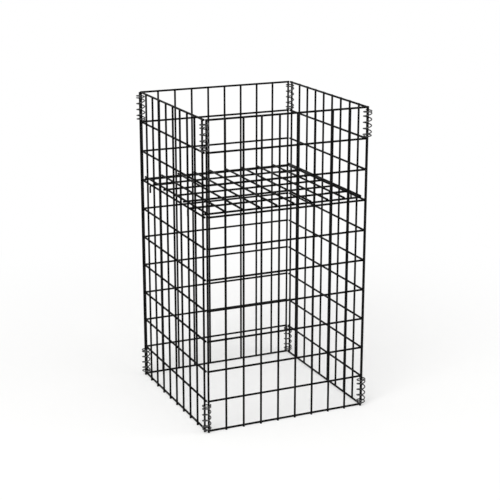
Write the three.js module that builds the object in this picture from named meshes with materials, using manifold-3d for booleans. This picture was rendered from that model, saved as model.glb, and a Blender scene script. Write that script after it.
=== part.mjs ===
// Retail dump bin: four welded wire panels laced together at the corners by wire coils, with a
// wire shelf hung inside on hooks. Millimetres, +Z up, the floor is z = 0 and the front is -Y.
import * as THREE from "three";
import { mergeVertices } from "three/addons/utils/BufferGeometryUtils.js";
import Module from "manifold-3d";

// Panels: upright wires outside, level wires welded across them inside.
const HEIGHT = 755.5;
const PANEL_WIDTH = 414.5; // over the edge uprights
const UPRIGHTS = 10;
const LEVELS = 11;
const PANEL_WIRE = 5; // diameter
const FOOT = 3; // uprights stand this far below the lowest level wire's axis
const HEAD = 1.2; // uprights stop this far below the top of the highest level wire
const WELD_SET = 0.7; // how far two crossing wires are pressed into each other
const OVERHANG = 0.5; // level wires run this far past the axis of an edge upright

// Corners: the level wires of the front and back panels pass outside those of the side panels.
const LEVEL_GAP = 1.5; // from the ends of the side panels' level wires to the front panel's
const UPRIGHT_GAP = 3.6; // from the ends of the front panel's level wires to the side uprights

// Coils: each goes round the two edge uprights of a corner, in the top or the bottom row.
const COIL_WIRE = 3; // diameter
const COIL_PLAY = 0.3; // between the coil and the edge uprights inside it
const COIL_HEADROOM = 3.7; // between the coil and the level wire above it
const OPEN_TURNS = 3.5;
const END_TURNS = 1.25; // closely wound turns at each end
const END_TURN_GAP = 1.3; // between closely wound turns
const COIL_STEPS = 8; // per turn
const COIL_SIDES = 5;

// Shelf: runners go from front to back over bearers that go from side to side.
const SHELF_LEVEL = 7; // the level wire that carries the shelf, counted from the lowest as 0
const SHELF_WIRE = 5; // diameter
const SHELF_SIDE_GAP = 1.6; // from a centred shelf to the side panels
const SHELF_END_GAP = 5; // from a centred shelf to the front and back panels
const SHELF_SHIFT = 3; // it lies this far to the left and to the front, in the play of its hooks
const RUNNERS = 10;
const RUNNER_TAIL = 5; // past the axis of the first and last bearers
const BEARERS = 7;
const BEARER_TAIL = 3; // past the axis of the first and last runners

// Hooks: welded under the shelf beside the second bearer from each end, over the side panels.
const HOOK_WIRE = 4.5; // diameter
const HOOK_TAIL = 12; // past the axis of the second runner in
const HOOK_DROP = 14; // of the leg, below the axis of the level wire
const HOOK_BEND_STEPS = 4;

const SEAT_GAP = 0.3; // between pieces that rest on each other
const WIRE_SIDES = 8;

// What follows from them
const halfSpan = (PANEL_WIDTH - PANEL_WIRE) / 2; // to the axis of an edge upright
const columnPitch = (2 * halfSpan) / (UPRIGHTS - 1);
const rowPitch = (HEIGHT - FOOT - PANEL_WIRE / 2) / (LEVELS - 1);
const weldStep = PANEL_WIRE - WELD_SET; // from the uprights' plane to the level wires' plane
const frontStep = weldStep + PANEL_WIRE / 2 + LEVEL_GAP + OVERHANG; // of the front and back panels
const sideStep = OVERHANG + UPRIGHT_GAP + PANEL_WIRE / 2; // of the side panels
const frontPlane = halfSpan + frontStep; // from the bin's axis to the uprights
const sidePlane = halfSpan + sideStep;

const cornerReach = Math.hypot(frontStep, sideStep) / 2; // from a coil's axis to an upright's
const coilBore = cornerReach + PANEL_WIRE / 2 + COIL_PLAY; // radius at its flats
const coilRadius = (coilBore + COIL_WIRE / 2) / Math.cos(Math.PI / COIL_STEPS);
const coilFoot = PANEL_WIRE / 2 + SEAT_GAP + COIL_WIRE / 2; // above a level wire's axis
const coilRise = rowPitch - coilFoot - COIL_WIRE / 2 - COIL_HEADROOM - PANEL_WIRE / 2;

const panelInside = weldStep + PANEL_WIRE / 2; // from the uprights' plane
const shelfHalfWidth = sidePlane - panelInside - SHELF_SIDE_GAP;
const shelfHalfDepth = frontPlane - panelInside - SHELF_END_GAP;
const runnerPitch = (2 * (shelfHalfWidth - BEARER_TAIL)) / (RUNNERS - 1);
const bearerPitch = (2 * (shelfHalfDepth - RUNNER_TAIL)) / (BEARERS - 1);
const hookBend = PANEL_WIRE / 2 + SEAT_GAP + HOOK_WIRE / 2; // round the level wire's axis
const shelfRow = levelHeight(SHELF_LEVEL);
const runnerHeight = shelfRow + hookBend + HOOK_WIRE / 2 + SEAT_GAP + SHELF_WIRE / 2;
const bearerHeight = runnerHeight - SHELF_WIRE + WELD_SET;
const bearerRoom = (SHELF_WIRE + HOOK_WIRE) / 2 + SEAT_GAP; // from a bearer's axis to a hook's

const solid = await Module();
solid.setup();

const POWDER_COAT = new THREE.MeshStandardMaterial({
  name: "black_powder_coat",
  color: "#1c1d1e",
  roughness: 0.5,
});
const SPRING_WIRE = new THREE.MeshStandardMaterial({
  name: "black_spring_wire",
  color: "#3a3c3d",
  metalness: 0.6,
  roughness: 0.35,
});

function levelHeight(level) {
  return FOOT + rowPitch * level;
}

// count places at an even pitch, centred on zero.
function spread(count, pitch) {
  return Array.from({ length: count }, (_, i) => (i - (count - 1) / 2) * pitch);
}

// A round wire along a row of points, as a closed tube whose section keeps a ridge towards up.
function wire(points, diameter, sides, up) {
  const vertices = [];
  const faces = [];
  points.forEach((point, i) => {
    const before = points[Math.max(i - 1, 0)];
    const after = points[Math.min(i + 1, points.length - 1)];
    const along = after.clone().sub(before).normalize();
    const across = up.clone().cross(along).normalize();
    const rise = along.clone().cross(across);
    for (let k = 0; k < sides; k += 1) {
      const angle = (2 * Math.PI * k) / sides;
      const vertex = point
        .clone()
        .addScaledVector(rise, (Math.cos(angle) * diameter) / 2)
        .addScaledVector(across, (Math.sin(angle) * diameter) / 2);
      vertices.push(...vertex.toArray());
    }
  });
  const last = (points.length - 1) * sides;
  for (let start = 0; start < last; start += sides) {
    for (let k = 0; k < sides; k += 1) {
      const next = (k + 1) % sides;
      faces.push(start + k, start + sides + k, start + next);
      faces.push(start + next, start + sides + k, start + sides + next);
    }
  }
  for (let k = 1; k < sides - 1; k += 1) {
    faces.push(0, k, k + 1);
    faces.push(last, last + k + 1, last + k);
  }
  const geometry = new THREE.BufferGeometry();
  geometry.setAttribute("position", new THREE.Float32BufferAttribute(vertices, 3));
  geometry.setIndex(faces);
  return geometry;
}

function straightWire(from, to, diameter, up) {
  return wire([from, to], diameter, WIRE_SIDES, up);
}

// Wires that cross are welded into one solid.
function weld(geometries) {
  const solids = geometries.map((geometry) => {
    const merged = mergeVertices(geometry);
    return new solid.Manifold(
      new solid.Mesh({
        numProp: 3,
        vertProperties: merged.attributes.position.array,
        triVerts: new Uint32Array(merged.index.array),
      }),
    );
  });
  const mesh = solid.Manifold.union(solids).getMesh();
  const geometry = new THREE.BufferGeometry();
  geometry.setAttribute("position", new THREE.BufferAttribute(mesh.vertProperties, 3));
  geometry.setIndex(new THREE.BufferAttribute(mesh.triVerts, 1));
  return geometry;
}

function piece(name, geometry, material) {
  geometry.computeVertexNormals();
  const mesh = new THREE.Mesh(geometry, material);
  mesh.name = name;
  return mesh;
}

const X = new THREE.Vector3(1, 0, 0);
const Y = new THREE.Vector3(0, 1, 0);
const Z = new THREE.Vector3(0, 0, 1);

function point(x, y, z) {
  return new THREE.Vector3(x, y, z);
}

// A panel at the front, its uprights this far from the bin's axis.
function panel(plane) {
  const top = HEIGHT - HEAD;
  const uprights = spread(UPRIGHTS, columnPitch).map((x) =>
    straightWire(point(x, -plane, 0), point(x, -plane, top), PANEL_WIRE, Y),
  );
  const end = halfSpan + OVERHANG;
  const inner = plane - weldStep;
  const levels = Array.from({ length: LEVELS }, (_, level) => {
    const z = levelHeight(level);
    return straightWire(point(-end, -inner, z), point(end, -inner, z), PANEL_WIRE, Y);
  });
  return weld([...uprights, ...levels]);
}

// How far a coil has climbed after some turns: close at the ends, open between them.
const endPitch = COIL_WIRE + END_TURN_GAP;
const openPitch = (coilRise - 2 * END_TURNS * endPitch) / OPEN_TURNS;
const coilTurns = OPEN_TURNS + 2 * END_TURNS;

function climb(turns) {
  const low = Math.min(turns, END_TURNS);
  const open = Math.min(Math.max(turns - END_TURNS, 0), OPEN_TURNS);
  const high = Math.max(turns - END_TURNS - OPEN_TURNS, 0);
  return (low + high) * endPitch + open * openPitch;
}

// A coil on the Z axis whose lower end is at the floor, wound to the right. Its steps are chords.
function coilPath() {
  const steps = Math.round(coilTurns * COIL_STEPS);
  return Array.from({ length: steps + 1 }, (_, i) => {
    const turns = i / COIL_STEPS;
    const angle = 2 * Math.PI * turns;
    const x = coilRadius * Math.cos(angle);
    return point(x, coilRadius * Math.sin(angle), climb(turns));
  });
}

// The least gap between two stretches of a coil that are half a turn or more apart.
function selfGap(path) {
  let least = Infinity;
  path.forEach((here, i) => {
    for (let k = i + COIL_STEPS / 2; k < path.length; k += 1) {
      least = Math.min(least, here.distanceTo(path[k]));
    }
  });
  return least - COIL_WIRE;
}

function shelfGrid() {
  const runners = spread(RUNNERS, runnerPitch).map((x) => {
    const start = point(x, -shelfHalfDepth, runnerHeight);
    return straightWire(start, point(x, shelfHalfDepth, runnerHeight), SHELF_WIRE, Z);
  });
  const bearers = spread(BEARERS, bearerPitch).map((y) => {
    const start = point(-shelfHalfWidth, y, bearerHeight);
    return straightWire(start, point(shelfHalfWidth, y, bearerHeight), SHELF_WIRE, Z);
  });
  return weld([...runners, ...bearers]);
}

// The place nearest to the wanted one at which a hook clears the uprights and the bearers.
function clearPlace(wanted) {
  const uprightRoom = (PANEL_WIRE + HOOK_WIRE) / 2 + SEAT_GAP;
  const taken = [
    ...spread(UPRIGHTS, columnPitch).map((y) => [y + SHELF_SHIFT, uprightRoom]),
    ...spread(BEARERS, bearerPitch).map((y) => [y, bearerRoom]),
  ];
  const isClear = (y) => taken.every(([at, room]) => Math.abs(y - at) > room - SEAT_GAP / 100);
  const places = taken.flatMap(([at, room]) => [at - room, at + room]);
  const clear = [wanted, ...places].filter(isClear);
  return clear.sort((a, b) => Math.abs(a - wanted) - Math.abs(b - wanted))[0];
}

// A hook on the right-hand side of a centred shelf, bent down outside the side panel's level wire.
function hook(y) {
  const top = shelfRow + hookBend;
  const tail = shelfHalfWidth - BEARER_TAIL - runnerPitch - HOOK_TAIL;
  const turn = sidePlane - weldStep + SHELF_SHIFT;
  const bend = Array.from({ length: HOOK_BEND_STEPS + 1 }, (_, i) => {
    const angle = ((Math.PI / 2) * i) / HOOK_BEND_STEPS;
    const x = turn + hookBend * Math.sin(angle);
    return point(x, y, shelfRow + hookBend * Math.cos(angle));
  });
  const foot = point(turn + hookBend, y, shelfRow - HOOK_DROP);
  return wire([point(tail, y, top), ...bend, foot], HOOK_WIRE, WIRE_SIDES, Y);
}

const bin = new THREE.Group();
bin.name = "retail_dump_bin";

const planes = { front: frontPlane, right: sidePlane, back: frontPlane, left: sidePlane };
Object.entries(planes).forEach(([side, plane], turn) => {
  const geometry = panel(plane).rotateZ((turn * Math.PI) / 2);
  bin.add(piece(`panel_${side}`, geometry, POWDER_COAT));
});

const path = coilPath();
const coilRows = { bottom: 0, top: LEVELS - 2 };
const corners = {
  front_left: [-1, -1],
  front_right: [1, -1],
  back_right: [1, 1],
  back_left: [-1, 1],
};
Object.entries(corners).forEach(([corner, [across, along]], turn) => {
  const x = across * (halfSpan + sideStep / 2);
  const y = along * (halfSpan + frontStep / 2);
  Object.entries(coilRows).forEach(([row, level]) => {
    const geometry = wire(path, COIL_WIRE, COIL_SIDES, Z);
    geometry.rotateZ((turn * Math.PI) / 2);
    geometry.translate(x, y, levelHeight(level) + coilFoot);
    bin.add(piece(`coil_${corner}_${row}`, geometry, SPRING_WIRE));
  });
});

const hookPlace = shelfHalfDepth - RUNNER_TAIL - bearerPitch - bearerRoom;
const shelf = { shelf_grid: shelfGrid() };
Object.entries({ front: -hookPlace, back: hookPlace }).forEach(([end, wanted]) => {
  const y = clearPlace(wanted);
  shelf[`hook_right_${end}`] = hook(y);
  shelf[`hook_left_${end}`] = hook(-y).rotateZ(Math.PI);
});
Object.entries(shelf).forEach(([name, geometry]) => {
  geometry.translate(-SHELF_SHIFT, -SHELF_SHIFT, 0);
  bin.add(piece(name, geometry, POWDER_COAT));
});

console.log(`least gap of a coil to itself: ${selfGap(path).toFixed(2)} mm`);

export default bin;
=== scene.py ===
"""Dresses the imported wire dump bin: round wires, welds, lacing coils, finishes and a stage."""

import math

import bpy
from bpy.props import FloatProperty, FloatVectorProperty, IntProperty, PointerProperty
from mathutils import Matrix, Vector


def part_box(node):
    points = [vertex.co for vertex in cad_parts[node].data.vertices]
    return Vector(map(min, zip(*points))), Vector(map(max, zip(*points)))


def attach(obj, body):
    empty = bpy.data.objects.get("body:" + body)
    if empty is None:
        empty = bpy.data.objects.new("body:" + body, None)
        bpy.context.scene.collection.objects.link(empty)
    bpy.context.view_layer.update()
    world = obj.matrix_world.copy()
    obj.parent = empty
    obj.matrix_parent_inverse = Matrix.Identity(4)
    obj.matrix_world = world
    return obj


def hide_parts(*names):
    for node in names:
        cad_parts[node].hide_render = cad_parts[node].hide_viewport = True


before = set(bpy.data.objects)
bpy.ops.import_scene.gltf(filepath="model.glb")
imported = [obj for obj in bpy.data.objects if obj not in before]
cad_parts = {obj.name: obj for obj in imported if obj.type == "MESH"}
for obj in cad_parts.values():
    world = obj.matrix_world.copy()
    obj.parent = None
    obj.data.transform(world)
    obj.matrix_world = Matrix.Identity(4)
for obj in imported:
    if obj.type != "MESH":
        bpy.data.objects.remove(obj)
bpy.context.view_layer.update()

bl_info = {
    "name": "Wire Dump Bin",
    "version": (1, 0, 0),
    "blender": (4, 5, 0),
    "location": "View3D > Sidebar > Dump Bin",
    "description": "Models a wire dump bin on its packed frame, piece by piece",
    "category": "Object",
}

SIDES = ("front", "right", "back", "left")
CORNERS = ("front_left", "front_right", "back_right", "back_left")
ROWS = ("top", "bottom")
QUARTER_TURN = math.pi / 2

WIRE_SIDES = 16
SMOOTH_ANGLE = math.radians(50)  # edges that turn less are shaded smooth
MERGE_GAP = 1e-6  # metres
HOOK_BEND_STEPS = 8
COIL_POINTS = 32  # per turn
COIL_CAD_STEPS = 8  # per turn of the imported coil, whose steps are chords
COIL_TIP = 0.8  # of the wire's radius, at a cut end
EASE_STEPS = 4  # before and after a point of a coil, over which its climb is averaged
EASE_TURNS = 0.04  # from one of those steps to the next

# A Mix node's sockets for colours, by place, as its sockets for numbers have the same names.
MIX_A = 6
MIX_B = 7
MIX_RESULT = 2

FLOOR_SIDE = 60  # metres
CAMERA_REACH = 200  # metres
SENSOR_WIDTH = 36  # millimetres
LAMP_AIM = Vector((0, 0, 0.35))  # near the middle of the bin

# A large soft box high on the left and a smaller one on the right: place and side in metres,
# power in watts.
SOFT_BOXES = {
    "key_box": ((-1.8, -1.6, 2.6), 1.6, 36),
    "fill_box": ((2.2, -1.2, 1.8), 1.2, 12),
}


def linear(colour_hex):
    """An sRGB hex colour as linear red, green and blue."""
    shares = [int(colour_hex[i : i + 2], 16) / 255 for i in (1, 3, 5)]
    return [c / 12.92 if c <= 0.04045 else ((c + 0.055) / 1.055) ** 2.4 for c in shares]


def length(name, description, millimetres):
    """A length property with a default in millimetres."""
    default = millimetres / 1000
    return FloatProperty(name=name, description=description, default=default, unit="LENGTH")


def colour(name, description, colour_hex):
    """A colour property with an sRGB default."""
    default = linear(colour_hex)
    return FloatVectorProperty(name=name, description=description, default=default, subtype="COLOR")


class DumpBinPanels(bpy.types.PropertyGroup):
    """Sizes of the four welded panels."""

    wire: length("Wire", "Diameter of the panel wires", 5)
    uprights: IntProperty(name="Uprights", description="Upright wires in a panel", default=10)
    levels: IntProperty(name="Levels", description="Level wires in a panel", default=11)
    foot: length("Foot", "From the floor to the axis of the lowest level wire", 3)
    head: length("Head", "From the ends of the uprights to the top of the highest level wire", 1.2)
    overhang: length("Overhang", "Level wires past the axis of an edge upright", 0.5)
    end_round: length("End Round", "Rounding of a cut end under its coat", 0.6)
    bead: length("Weld Bead", "Radius of the flash round a weld", 2.4)
    bead_depth: length("Bead Depth", "Half the depth of that flash", 1.1)


class DumpBinCoils(bpy.types.PropertyGroup):
    """Sizes of the eight lacing coils."""

    wire: length("Wire", "Diameter of the coil wire", 3)
    open_turns: FloatProperty(name="Open Turns", description="Widely wound turns", default=3.5)
    end_turns: FloatProperty(name="End Turns", description="Close turns at each end", default=1.25)
    end_gap: length("End Gap", "Between close turns", 1.3)


class DumpBinShelf(bpy.types.PropertyGroup):
    """Sizes of the hung shelf and its hooks."""

    wire: length("Wire", "Diameter of the shelf wires", 5)
    runners: IntProperty(name="Runners", description="Wires from front to back", default=10)
    bearers: IntProperty(name="Bearers", description="Wires from side to side", default=7)
    runner_tail: length("Runner Tail", "Runners past the axis of the first and last bearers", 5)
    bearer_tail: length("Bearer Tail", "Bearers past the axis of the first and last runners", 3)
    hook_wire: length("Hook Wire", "Diameter of the hook wire", 4.5)
    hook_bend: length("Hook Bend", "Radius of a hook's bend at its axis", 5.05)


class DumpBinFinish(bpy.types.PropertyGroup):
    """Colours of the finishes."""

    coat: colour("Coat", "Black powder coat", "#060606")
    coat_thin: colour("Thin Coat", "The coat where it went on thinner", "#0a0a0a")
    dust: colour("Dust", "Film on faces that look up", "#4b4946")
    steel: colour("Steel", "Bare steel where a foot has rubbed", "#8a8b8c")
    # Both spring colours are lifted paler than blackened wire: partly the wire's own finish, partly
    # painted sheen in place of the coil's highlights.
    spring: colour("Spring", "Blackened spring wire", "#383838")
    spring_rub_and_sheen: colour("Rubbed Spring", "Spring wire where the black has rubbed thin", "#686868")
    floor: colour("Floor", "Pale studio floor", "#fdfdfc")


class DumpBinStage(bpy.types.PropertyGroup):
    """Camera and light."""

    azimuth: FloatProperty(
        name="Azimuth",
        description="Turn of the view from the front panel's normal",
        default=math.radians(24.28),
        subtype="ANGLE",
    )
    elevation: FloatProperty(
        name="Elevation",
        description="Tilt of the view below the horizon",
        default=math.radians(16.0744),
        subtype="ANGLE",
    )
    roll: FloatProperty(
        name="Roll",
        description="Turn of the view about its own axis",
        default=math.radians(0.0345),
        subtype="ANGLE",
    )
    place: FloatVectorProperty(
        name="Place",
        description="Where the camera stands",
        default=(-1.3314, -2.9487, 1.3051),
        subtype="TRANSLATION",
    )
    lens: FloatProperty(
        name="Lens",
        description="Focal length of the camera",
        default=96.833,
        subtype="DISTANCE_CAMERA",
    )
    dome: FloatProperty(name="Dome", description="Light of the white studio dome", default=0.72)


class DumpBinSettings(bpy.types.PropertyGroup):
    """All that a user would change."""

    panels: PointerProperty(type=DumpBinPanels)
    coils: PointerProperty(type=DumpBinCoils)
    shelf: PointerProperty(type=DumpBinShelf)
    finish: PointerProperty(type=DumpBinFinish)
    stage: PointerProperty(type=DumpBinStage)


def add_node(tree, kind, inputs=None, **settings):
    """A node with its settings, its input values and the links into it."""
    node = tree.nodes.new(kind)
    for name, value in settings.items():
        setattr(node, name, value)
    for socket, value in (inputs or {}).items():
        if isinstance(value, bpy.types.NodeSocket):
            tree.links.new(value, node.inputs[socket])
        else:
            node.inputs[socket].default_value = value
    return node


def new_material(name):
    """An empty node material and its tree."""
    material = bpy.data.materials.new(name)
    material.use_nodes = True
    material.node_tree.nodes.clear()
    return material, material.node_tree


def per_metre(millimetres):
    """The scale of a pattern whose features are that wide."""
    return 1000 / millimetres


def powder_coat(finish):
    """Semi-gloss black polyester powder coat, baked on steel wire."""
    # To the eye it is nearly black with a faint sheen, and a little greyer on top, where dust lies.
    name = "polyester_powder_coat_black"
    if name in bpy.data.materials:
        return bpy.data.materials[name]
    material, tree = new_material(name)
    place = add_node(tree, "ShaderNodeTexCoord").outputs["Object"]
    surface = add_node(tree, "ShaderNodeNewGeometry")

    # The coat goes on in a cloud, so its depth drifts over about 60 mm.
    drift = add_node(
        tree,
        "ShaderNodeTexNoise",
        {"Vector": place, "Scale": per_metre(60), "Detail": 3.0},
    )
    coat = add_node(
        tree,
        "ShaderNodeMix",
        {
            "Factor": drift.outputs["Fac"],
            MIX_A: (*finish.coat, 1),
            MIX_B: (*finish.coat_thin, 1),
        },
        data_type="RGBA",
    )

    # A shop's dust lies on what looks up, in patches of about 15 mm.
    up = add_node(tree, "ShaderNodeSeparateXYZ", {"Vector": surface.outputs["Normal"]})
    lying = add_node(
        tree,
        "ShaderNodeMapRange",
        {
            "Value": up.outputs["Z"],
            "From Min": 0.55,
            "From Max": 1.0,
            "To Min": 0.0,
            "To Max": 0.35,
        },
    )
    patches = add_node(
        tree,
        "ShaderNodeTexNoise",
        {"Vector": place, "Scale": per_metre(15), "Detail": 5.0, "Roughness": 0.65},
    )
    film = add_node(
        tree,
        "ShaderNodeMath",
        {0: lying.outputs["Result"], 1: patches.outputs["Fac"]},
        operation="MULTIPLY",
    )
    dusty = add_node(
        tree,
        "ShaderNodeMix",
        {
            "Factor": film.outputs["Value"],
            MIX_A: coat.outputs[MIX_RESULT],
            MIX_B: (*finish.dust, 1),
        },
        data_type="RGBA",
    )

    # The cut feet stand on the floor, and the lowest 3 mm are scuffed through in spots of 1.2 mm.
    height = add_node(tree, "ShaderNodeSeparateXYZ", {"Vector": place})
    low = add_node(
        tree,
        "ShaderNodeMapRange",
        {
            "Value": height.outputs["Z"],
            "From Min": 0.0,
            "From Max": 0.003,
            "To Min": 0.75,
            "To Max": 0.0,
        },
    )
    spots = add_node(
        tree,
        "ShaderNodeTexNoise",
        {"Vector": place, "Scale": per_metre(1.2), "Detail": 4.0},
    )
    worn = add_node(
        tree,
        "ShaderNodeMath",
        {0: low.outputs["Result"], 1: spots.outputs["Fac"]},
        operation="MULTIPLY",
    )
    bare = add_node(
        tree,
        "ShaderNodeMapRange",
        {
            "Value": worn.outputs["Value"],
            "From Min": 0.3,
            "From Max": 0.36,
            "To Min": 0.0,
            "To Max": 1.0,
        },
    )
    skin = add_node(
        tree,
        "ShaderNodeMix",
        {
            "Factor": bare.outputs["Result"],
            MIX_A: dusty.outputs[MIX_RESULT],
            MIX_B: (*finish.steel, 1),
        },
        data_type="RGBA",
    )

    # Dust dulls the gloss, and the drift moves it a little.
    gloss = add_node(
        tree,
        "ShaderNodeMapRange",
        {
            "Value": drift.outputs["Fac"],
            "From Min": 0.3,
            "From Max": 0.7,
            "To Min": 0.36,
            "To Max": 0.48,
        },
    )
    roughness = add_node(
        tree,
        "ShaderNodeMath",
        {0: gloss.outputs["Result"], 1: film.outputs["Value"]},
        operation="ADD",
    )

    # Orange peel: the coat's own ripple, 1.2 mm wide and a few hundredths of a millimetre deep.
    ripple = add_node(
        tree,
        "ShaderNodeTexNoise",
        {"Vector": place, "Scale": per_metre(1.2), "Detail": 2.0, "Roughness": 0.4},
    )
    peel = add_node(
        tree,
        "ShaderNodeBump",
        {"Height": ripple.outputs["Fac"], "Strength": 0.5, "Distance": 0.00005},
    )

    # The wires show hardly a highlight, so little is reflected.
    shader = add_node(
        tree,
        "ShaderNodeBsdfPrincipled",
        {
            "Base Color": skin.outputs[MIX_RESULT],
            "Metallic": bare.outputs["Result"],
            "Roughness": roughness.outputs["Value"],
            "IOR": 1.5,
            "Specular IOR Level": 0.05,
            "Normal": peel.outputs["Normal"],
        },
    )
    add_node(tree, "ShaderNodeOutputMaterial", {"Surface": shader.outputs["BSDF"]})
    return material


def spring_wire(finish):
    """Hard-drawn spring wire with a thin black finish."""
    # To the eye it is a dark grey with some shine, paler than the coat beside it; that paleness is
    # partly painted sheen, its colours lifted to stand in for highlights on the coil.
    material, tree = new_material("blackened_spring_wire_painted_sheen")
    place = add_node(tree, "ShaderNodeTexCoord").outputs["Object"]

    # The black rubs thin in patches of about 4 mm where a coil was spun on to its wires.
    rub = add_node(
        tree,
        "ShaderNodeTexNoise",
        {"Vector": place, "Scale": per_metre(4), "Detail": 6.0, "Roughness": 0.6},
    )
    thin = add_node(
        tree,
        "ShaderNodeMapRange",
        {
            "Value": rub.outputs["Fac"],
            "From Min": 0.45,
            "From Max": 0.7,
            "To Min": 0.0,
            "To Max": 1.0,
        },
    )
    # Both tones of this mix are lifted paler as painted sheen; the rubbed patches themselves are
    # real wear.
    skin = add_node(
        tree,
        "ShaderNodeMix",
        {
            "Factor": thin.outputs["Result"],
            MIX_A: (*finish.spring, 1),
            MIX_B: (*finish.spring_rub_and_sheen, 1),
        },
        data_type="RGBA",
    )
    roughness = add_node(
        tree,
        "ShaderNodeMapRange",
        {
            "Value": thin.outputs["Result"],
            "From Min": 0.0,
            "From Max": 1.0,
            "To Min": 0.42,
            "To Max": 0.3,
        },
    )

    # Die marks of the drawing, 0.5 mm wide: finer ones would not show.
    marks = add_node(
        tree,
        "ShaderNodeTexNoise",
        {"Vector": place, "Scale": per_metre(0.5), "Detail": 2.0},
    )
    grain = add_node(
        tree,
        "ShaderNodeBump",
        {"Height": marks.outputs["Fac"], "Strength": 0.3, "Distance": 0.00003},
    )
    shader = add_node(
        tree,
        "ShaderNodeBsdfPrincipled",
        {
            "Base Color": skin.outputs[MIX_RESULT],
            "Metallic": 0.6,
            "Roughness": roughness.outputs["Result"],
            "Normal": grain.outputs["Normal"],
        },
    )
    add_node(tree, "ShaderNodeOutputMaterial", {"Surface": shader.outputs["BSDF"]})
    return material


def backdrop_rays(tree):
    """1 for rays that show what is behind the bin, and 0 for those that only light it."""
    ray = add_node(tree, "ShaderNodeLightPath")
    direct = add_node(
        tree,
        "ShaderNodeMath",
        {0: ray.outputs["Is Camera Ray"], 1: ray.outputs["Is Glossy Ray"]},
        operation="MAXIMUM",
    )
    shown = add_node(
        tree,
        "ShaderNodeMath",
        {0: direct.outputs["Value"], 1: ray.outputs["Is Transmission Ray"]},
        operation="MAXIMUM",
    )
    return shown.outputs["Value"]


def studio_floor(finish):
    """Matt white seamless paper, rolled out under the bin."""
    # To the eye it is pale under the bin, with the bin's shadow lightened by a painted white glow,
    # and plain white from 1.5 m out.
    material, tree = new_material("seamless_paper_white")
    place = add_node(tree, "ShaderNodeTexCoord").outputs["Object"]
    away = add_node(tree, "ShaderNodeVectorMath", {"Vector": place}, operation="LENGTH")
    # Painted light: for the camera the paper glows white, 40% near the bin, which lightens the
    # bin's shadow, and wholly from 1.5 m out.
    painted_glow_share = add_node(
        tree,
        "ShaderNodeMapRange",
        {
            "Value": away.outputs["Value"],
            "From Min": 0.4,
            "From Max": 1.5,
            "To Min": 0.4,
            "To Max": 1.0,
        },
        interpolation_type="SMOOTHSTEP",
    )
    white = add_node(
        tree,
        "ShaderNodeMath",
        {0: backdrop_rays(tree), 1: painted_glow_share.outputs["Result"]},
        operation="MULTIPLY",
    )
    paper = add_node(
        tree,
        "ShaderNodeBsdfDiffuse",
        {"Color": (*finish.floor, 1), "Roughness": 0.6},
    )
    glow = add_node(tree, "ShaderNodeEmission", {"Color": (1, 1, 1, 1), "Strength": 1.0})
    blend = add_node(
        tree,
        "ShaderNodeMixShader",
        {"Fac": white.outputs["Value"], 1: paper.outputs["BSDF"], 2: glow.outputs["Emission"]},
    )
    add_node(tree, "ShaderNodeOutputMaterial", {"Surface": blend.outputs["Shader"]})
    return material


def clear_selection():
    """Object mode, with nothing selected."""
    if bpy.context.object and bpy.context.object.mode != "OBJECT":
        bpy.ops.object.mode_set(mode="OBJECT")
    bpy.ops.object.select_all(action="DESELECT")


def select(*objects):
    """These objects selected, the first of them active."""
    clear_selection()
    for each in objects:
        each.select_set(True)
    bpy.context.view_layer.objects.active = objects[0]


def soften_ends(wire, end_round):
    """Bevels the rims of a wire's flat ends."""
    select(wire)
    bpy.ops.object.mode_set(mode="EDIT")
    bpy.ops.mesh.select_mode(type="FACE")
    bpy.ops.mesh.select_all(action="DESELECT")
    bpy.ops.object.mode_set(mode="OBJECT")
    for face in wire.data.polygons:
        face.select = len(face.vertices) == WIRE_SIDES
    bpy.ops.object.mode_set(mode="EDIT")
    bpy.ops.mesh.region_to_loop()
    bpy.ops.mesh.bevel(offset=end_round, segments=2, affect="EDGES")
    bpy.ops.object.mode_set(mode="OBJECT")


def straight_wire(start, end, diameter, end_round):
    """A round wire from start to end."""
    clear_selection()
    along = end - start
    bpy.ops.mesh.primitive_cylinder_add(
        vertices=WIRE_SIDES,
        radius=diameter / 2,
        depth=along.length,
        location=(start + end) / 2,
        rotation=along.to_track_quat("Z", "Y").to_euler(),
    )
    bpy.ops.object.transform_apply(location=True, rotation=True, scale=True)
    wire = bpy.context.object
    soften_ends(wire, end_round)
    return wire


def weld_bead(place, radius, depth, normal):
    """The flash that a weld squeezes out between two crossing wires: a flat cushion."""
    clear_selection()
    bpy.ops.mesh.primitive_uv_sphere_add(segments=12, ring_count=6, radius=radius, location=place)
    bpy.ops.object.mode_set(mode="EDIT")
    flat = [depth / radius if axis else 1.0 for axis in normal]
    bpy.ops.transform.resize(value=flat, center_override=place)
    bpy.ops.object.mode_set(mode="OBJECT")
    bpy.ops.object.transform_apply(location=True, rotation=True, scale=True)
    return bpy.context.object


def repeat(piece, count, step):
    """A row of copies of a piece, as one mesh."""
    select(piece)
    row = piece.modifiers.new("Row", "ARRAY")
    row.count = count
    row.use_relative_offset = False
    row.use_constant_offset = True
    row.constant_offset_displace = step
    bpy.ops.object.modifier_apply(modifier=row.name)


def join(name, *pieces):
    """The pieces as one object, smooth across all but its sharpest edges."""
    select(*pieces)
    bpy.ops.object.join()
    piece = bpy.context.object
    piece.name = name
    bpy.ops.object.shade_smooth_by_angle(angle=SMOOTH_ANGLE)
    return piece


def copy(piece, name):
    """A copy of a piece with its own mesh."""
    select(piece)
    bpy.ops.object.duplicate(linked=False)
    made = bpy.context.object
    made.name = name
    return made


def centre(node):
    """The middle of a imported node's box."""
    low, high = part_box(node)
    return (low + high) / 2


def place_as(piece, node, model, turn):
    """Turns a piece that was made at the model node about Z and moves it to another node."""
    spin = Matrix.Rotation(turn, 4, "Z")
    select(piece)
    piece.matrix_world = Matrix.Translation(centre(node) - spin @ centre(model)) @ spin
    bpy.ops.object.transform_apply(location=True, rotation=True, scale=True)


def dress(piece, material, body, node):
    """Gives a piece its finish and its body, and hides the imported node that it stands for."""
    piece.data.materials.clear()
    piece.data.materials.append(material)
    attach(piece, body)
    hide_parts(node)


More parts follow.
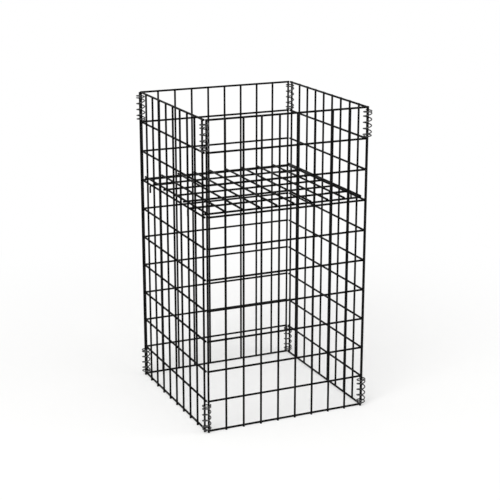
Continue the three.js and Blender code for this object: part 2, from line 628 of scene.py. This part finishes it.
class DUMPBIN_OT_panels(bpy.types.Operator):
    """Models the front panel and turns copies of it into the other three"""

    bl_idname = "dump_bin.panels"
    bl_label = "Wire Panels"

    def execute(self, context):
        settings = context.scene.dump_bin
        sizes = settings.panels
        low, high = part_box("panel_front")
        radius = sizes.wire / 2
        upright_y = low.y + radius
        level_y = high.y - radius
        half_span = high.x - radius
        column = 2 * half_span / (sizes.uprights - 1)
        row = (high.z - radius - sizes.foot) / (sizes.levels - 1)

        foot = Vector((-half_span, upright_y, low.z))
        head = Vector((-half_span, upright_y, high.z - sizes.head))
        uprights = straight_wire(foot, head, sizes.wire, sizes.end_round)
        repeat(uprights, sizes.uprights, (column, 0, 0))

        reach = half_span + sizes.overhang
        left = Vector((-reach, level_y, sizes.foot))
        right = Vector((reach, level_y, sizes.foot))
        levels = straight_wire(left, right, sizes.wire, sizes.end_round)
        repeat(levels, sizes.levels, (0, 0, row))

        crossing = Vector((-half_span, (upright_y + level_y) / 2, sizes.foot))
        beads = weld_bead(crossing, sizes.bead, sizes.bead_depth, (0, 1, 0))
        repeat(beads, sizes.uprights, (column, 0, 0))
        repeat(beads, sizes.levels, (0, 0, row))

        front = join("wire_panel_front", uprights, levels, beads)
        panels = [front] + [copy(front, f"wire_panel_{side}") for side in SIDES[1:]]
        coat = powder_coat(settings.finish)
        for quarter, (side, panel) in enumerate(zip(SIDES, panels)):
            place_as(panel, f"panel_{side}", "panel_front", quarter * QUARTER_TURN)
            dress(panel, coat, "cage", f"panel_{side}")
        return {"FINISHED"}


class DUMPBIN_OT_coils(bpy.types.Operator):
    """Winds the lacing coils of the four corners"""

    bl_idname = "dump_bin.coils"
    bl_label = "Lacing Coils"

    def execute(self, context):
        settings = context.scene.dump_bin
        spring = spring_wire(settings.finish)
        for quarter, corner in enumerate(CORNERS):
            for row in ROWS:
                node = f"coil_{corner}_{row}"
                coil = self.wind(settings.coils, node, quarter * QUARTER_TURN)
                dress(coil, spring, node, node)
        return {"FINISHED"}

    def wind(self, sizes, node, start):
        """A coil in the place of a packed one, wound to the right from the same start."""
        low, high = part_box(node)
        axis = centre(node)
        reach = (high.x - low.x) / 2 - sizes.wire / 2
        radius = reach * math.cos(math.pi / COIL_CAD_STEPS)
        foot = low.z + sizes.wire / 2
        rise = high.z - sizes.wire / 2 - foot
        turns = sizes.open_turns + 2 * sizes.end_turns

        clear_selection()
        bpy.ops.curve.primitive_nurbs_path_add(location=(0, 0, 0))
        coil = bpy.context.object
        line = coil.data
        line.splines.clear()
        spline = line.splines.new("POLY")
        count = round(turns * COIL_POINTS)
        spline.points.add(count)
        for i, point in enumerate(spline.points):
            turned = i / COIL_POINTS
            angle = start + 2 * math.pi * turned
            x = axis.x + radius * math.cos(angle)
            y = axis.y + radius * math.sin(angle)
            point.co = (x, y, foot + self.climb(sizes, turned, rise), 1)
            point.radius = COIL_TIP if i in (0, count) else 1.0
        line.twist_mode = "Z_UP"
        line.bevel_depth = sizes.wire / 2
        line.bevel_resolution = 4
        line.use_fill_caps = True
        bpy.ops.object.convert(target="MESH")
        return join(f"lacing_{node}", bpy.context.object)

    def climb(self, sizes, turned, rise):
        """Height after some turns: close at the ends, open between, eased where that changes."""
        pitch = sizes.wire + sizes.end_gap
        opened = (rise - 2 * sizes.end_turns * pitch) / sizes.open_turns
        first = sizes.end_turns
        last = sizes.end_turns + sizes.open_turns
        heights = []
        for step in range(-EASE_STEPS, EASE_STEPS + 1):
            at = turned + step * EASE_TURNS
            wide = min(max(at, first), last) - first
            heights.append((at - wide) * pitch + wide * opened)
        return sum(heights) / len(heights)


class DUMPBIN_OT_shelf(bpy.types.Operator):
    """Models the welded grid of the shelf"""

    bl_idname = "dump_bin.shelf"
    bl_label = "Wire Shelf"

    def execute(self, context):
        settings = context.scene.dump_bin
        sizes = settings.shelf
        weld = settings.panels
        low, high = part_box("shelf_grid")
        radius = sizes.wire / 2
        first_x = low.x + sizes.bearer_tail
        first_y = low.y + sizes.runner_tail
        column = (high.x - low.x - 2 * sizes.bearer_tail) / (sizes.runners - 1)
        row = (high.y - low.y - 2 * sizes.runner_tail) / (sizes.bearers - 1)
        runner_z = high.z - radius
        bearer_z = low.z + radius

        front = Vector((first_x, low.y, runner_z))
        back = Vector((first_x, high.y, runner_z))
        runners = straight_wire(front, back, sizes.wire, weld.end_round)
        repeat(runners, sizes.runners, (column, 0, 0))

        left = Vector((low.x, first_y, bearer_z))
        right = Vector((high.x, first_y, bearer_z))
        bearers = straight_wire(left, right, sizes.wire, weld.end_round)
        repeat(bearers, sizes.bearers, (0, row, 0))

        crossing = Vector((first_x, first_y, (runner_z + bearer_z) / 2))
        beads = weld_bead(crossing, weld.bead, weld.bead_depth, (0, 0, 1))
        repeat(beads, sizes.runners, (column, 0, 0))
        repeat(beads, sizes.bearers, (0, row, 0))

        shelf = join("wire_shelf", runners, bearers, beads)
        dress(shelf, powder_coat(settings.finish), "shelf", "shelf_grid")
        return {"FINISHED"}


class DUMPBIN_OT_hooks(bpy.types.Operator):
    """Bends the four hooks that hang the shelf on the side panels"""

    bl_idname = "dump_bin.hooks"
    bl_label = "Shelf Hooks"

    def execute(self, context):
        settings = context.scene.dump_bin
        sizes = settings.shelf
        weld = settings.panels
        low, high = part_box("hook_right_front")
        radius = sizes.hook_wire / 2
        y = (low.y + high.y) / 2
        arm_z = high.z - radius
        leg_x = high.x - radius
        bend_x = leg_x - sizes.hook_bend
        bend_z = arm_z - sizes.hook_bend

        clear_selection()
        bpy.ops.mesh.primitive_circle_add(
            vertices=WIRE_SIDES,
            radius=radius,
            fill_type="NGON",
            location=(low.x, y, arm_z),
            rotation=(0, QUARTER_TURN, 0),
        )
        hook = bpy.context.object
        bpy.ops.object.transform_apply(location=True, rotation=True, scale=True)
        bpy.ops.object.mode_set(mode="EDIT")
        bpy.ops.mesh.select_all(action="SELECT")
        bpy.ops.mesh.extrude_region_move(TRANSFORM_OT_translate={"value": (bend_x - low.x, 0, 0)})
        bpy.ops.mesh.spin(
            steps=HOOK_BEND_STEPS,
            angle=-QUARTER_TURN,
            center=(bend_x, y, bend_z),
            axis=(0, 1, 0),
        )
        bpy.ops.mesh.extrude_region_move(TRANSFORM_OT_translate={"value": (0, 0, low.z - bend_z)})
        bpy.ops.mesh.select_all(action="SELECT")
        bpy.ops.mesh.remove_doubles(threshold=MERGE_GAP)
        bpy.ops.mesh.normals_make_consistent(inside=False)
        bpy.ops.object.mode_set(mode="OBJECT")
        soften_ends(hook, weld.end_round)

        # The arm is welded to the two outer runners above it.
        shelf_low, shelf_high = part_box("shelf_grid")
        outer_x = shelf_high.x - sizes.bearer_tail
        span = shelf_high.x - shelf_low.x - 2 * sizes.bearer_tail
        column = span / (sizes.runners - 1)
        seam_z = (high.z + shelf_high.z - sizes.wire) / 2
        seam = Vector((outer_x, y, seam_z))
        beads = weld_bead(seam, weld.bead, weld.bead_depth, (0, 0, 1))
        repeat(beads, 2, (-column, 0, 0))
        right_front = join("shelf_hook_right_front", hook, beads)

        turns = {"right_front": 0, "right_back": 0, "left_front": math.pi, "left_back": math.pi}
        others = [copy(right_front, f"shelf_hook_{name}") for name in list(turns)[1:]]
        coat = powder_coat(settings.finish)
        for piece, (name, turn) in zip([right_front, *others], turns.items()):
            place_as(piece, f"hook_{name}", "hook_right_front", turn)
            dress(piece, coat, "shelf", f"hook_{name}")
        return {"FINISHED"}


class DUMPBIN_OT_stage(bpy.types.Operator):
    """Sets the pale floor, the soft studio light and the camera"""

    bl_idname = "dump_bin.stage"
    bl_label = "Studio Stage"

    def execute(self, context):
        settings = context.scene.dump_bin
        sizes = settings.stage
        scene = context.scene
        scene.view_settings.view_transform = "Standard"

        clear_selection()
        bpy.ops.mesh.primitive_plane_add(size=FLOOR_SIDE, location=(0, 0, 0))
        floor = context.object
        floor.name = "studio_floor"
        floor.data.materials.append(studio_floor(settings.finish))

        # A white dome lights the bin evenly and is what the camera and any gloss see behind it.
        world = bpy.data.worlds.new("white_dome")
        scene.world = world
        world.use_nodes = True
        tree = world.node_tree
        tree.nodes.clear()
        strength = add_node(
            tree,
            "ShaderNodeMapRange",
            {
                "Value": backdrop_rays(tree),
                "From Min": 0.0,
                "From Max": 1.0,
                "To Min": sizes.dome,
                "To Max": 1.0,
            },
        )
        white = add_node(
            tree,
            "ShaderNodeBackground",
            {"Color": (1, 1, 1, 1), "Strength": strength.outputs["Result"]},
        )
        add_node(tree, "ShaderNodeOutputWorld", {"Surface": white.outputs["Background"]})

        for name, (place, side, power) in SOFT_BOXES.items():
            clear_selection()
            bpy.ops.object.light_add(type="AREA", location=place)
            lamp = context.object
            lamp.name = name
            lamp.data.shape = "SQUARE"
            lamp.data.size = side
            lamp.data.energy = power
            aim = LAMP_AIM - Vector(place)
            lamp.rotation_euler = aim.to_track_quat("-Z", "Y").to_euler()

        clear_selection()
        bpy.ops.object.camera_add()
        camera = context.object
        camera.name = "photo_camera"
        camera.data.sensor_width = SENSOR_WIDTH
        camera.data.lens = sizes.lens
        camera.data.clip_end = CAMERA_REACH
        camera.matrix_world = (
            Matrix.Translation(sizes.place)
            @ Matrix.Rotation(-sizes.azimuth, 4, "Z")
            @ Matrix.Rotation(QUARTER_TURN - sizes.elevation, 4, "X")
            @ Matrix.Rotation(sizes.roll, 4, "Z")
        )
        scene.camera = camera
        return {"FINISHED"}


class DUMPBIN_PT_sidebar(bpy.types.Panel):
    """Lists the steps of the bin"""

    bl_idname = "DUMPBIN_PT_sidebar"
    bl_label = "Dump Bin"
    bl_space_type = "VIEW_3D"
    bl_region_type = "UI"
    bl_category = "Dump Bin"

    def draw(self, context):
        settings = context.scene.dump_bin
        for step in STEPS:
            self.layout.operator(step.bl_idname)
        for group in ("panels", "coils", "shelf", "finish", "stage"):
            box = self.layout.box()
            box.label(text=group.title())
            sizes = getattr(settings, group)
            for name in sizes.__annotations__:
                box.prop(sizes, name)


STEPS = (
    DUMPBIN_OT_panels,
    DUMPBIN_OT_coils,
    DUMPBIN_OT_shelf,
    DUMPBIN_OT_hooks,
    DUMPBIN_OT_stage,
)
CLASSES = (
    DumpBinPanels,
    DumpBinCoils,
    DumpBinShelf,
    DumpBinFinish,
    DumpBinStage,
    DumpBinSettings,
    *STEPS,
    DUMPBIN_PT_sidebar,
)


def register():
    for each in CLASSES:
        bpy.utils.register_class(each)
    bpy.types.Scene.dump_bin = PointerProperty(type=DumpBinSettings)


def unregister():
    del bpy.types.Scene.dump_bin
    for each in reversed(CLASSES):
        bpy.utils.unregister_class(each)


def main():
    register()
    bpy.ops.dump_bin.panels()
    bpy.ops.dump_bin.coils()
    bpy.ops.dump_bin.shelf()
    bpy.ops.dump_bin.hooks()
    bpy.ops.dump_bin.stage()


if __name__ == "__main__":
    main()
